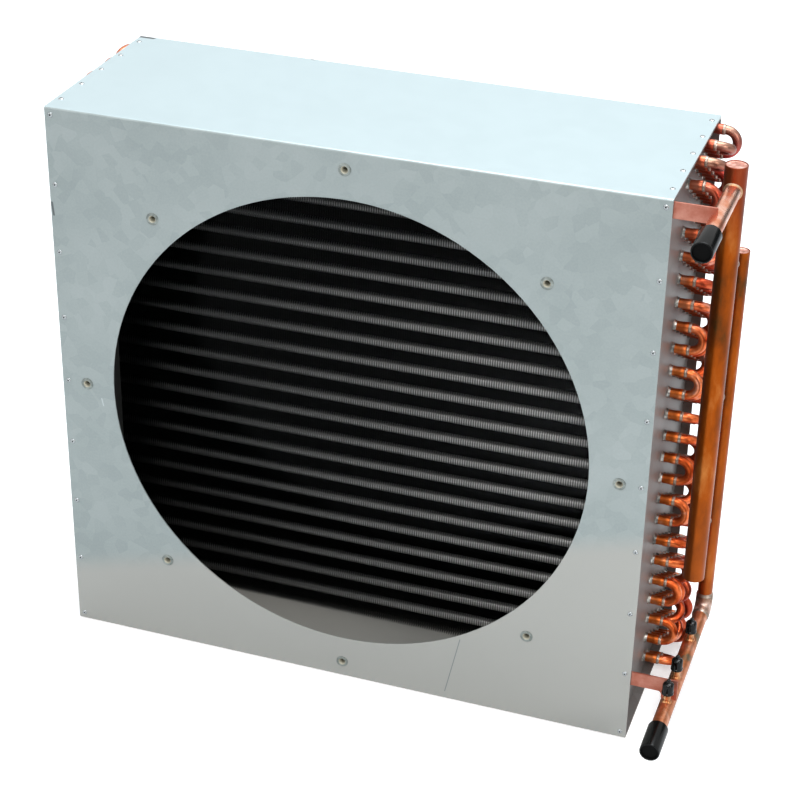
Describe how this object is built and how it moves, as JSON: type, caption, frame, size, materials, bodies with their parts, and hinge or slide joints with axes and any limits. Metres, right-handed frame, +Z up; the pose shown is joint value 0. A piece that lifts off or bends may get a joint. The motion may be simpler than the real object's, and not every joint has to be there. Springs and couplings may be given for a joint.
{
  "type": "finned tube radiator",
  "caption": "Finned tube coil in a folded sheet casing with a round fan opening, copper return bends and two capped headers on one side.",
  "frame": {"origin": "middle of the casing's underside", "axes": "+X along the coil towards the copper headers, -Y towards the fan opening, +Z up"},
  "size_m": [0.6909, 0.3026, 0.611],
  "materials": {
    "galvanised_sheet": "hot-dip galvanised sheet, dull with a fine spangle",
    "fin_aluminium": "thin aluminium fins with a dark coating",
    "copper": "drawn copper tube, heat-tinted round the brazed joints",
    "black_plastic": "moulded black plastic",
    "zinc_steel": "zinc-plated steel",
    "rivet_aluminium": "plain aluminium blind rivets"
  },
  "bodies": {
    "root": {"access_valve_1": "copper", "access_valve_2": "copper", "access_valve_3": "copper", "casing_wrap": "galvanised_sheet", "crossover_bends_1_to_2": "copper", "crossover_bends_2_to_3": "copper", "crossover_bends_3_to_4": "copper", "fan_inserts": "zinc_steel", "fin_pack": "fin_aluminium", "front_rivets": "rivet_aluminium", "gas_feeders": "copper", "gas_header": "copper", "gas_header_bottom_cap": "copper", "gas_header_top_cap": "copper", "hairpin_bends_row_1": "copper", "hairpin_bends_row_2": "copper", "hairpin_bends_row_3": "copper", "hairpin_bends_row_4": "copper", "hairpin_bends_row_5": "copper", "hairpin_crossovers_4_to_5": "copper", "inlet_pipe": "copper", "inlet_plug": "black_plastic", "liquid_feeders": "copper", "liquid_header": "copper", "liquid_header_top_cap": "copper", "lower_bracket": "copper", "outlet_elbow": "copper", "outlet_pipe": "copper", "outlet_plug": "black_plastic", "return_bends_row_1": "copper", "return_bends_row_2": "copper", "return_bends_row_3": "copper", "return_bends_row_4": "copper", "return_bends_row_5": "copper", "top_rivets": "rivet_aluminium", "tube_ends_row_1": "copper", "tube_ends_row_2": "copper", "tube_ends_row_3": "copper", "tube_ends_row_4": "copper", "tube_ends_row_5": "copper", "tube_plate_left": "galvanised_sheet", "tube_plate_right": "galvanised_sheet", "upper_bracket": "copper", "valve_cap_1": "black_plastic", "valve_cap_2": "black_plastic", "valve_cap_3": "black_plastic"}
  },
  "joints": []
}
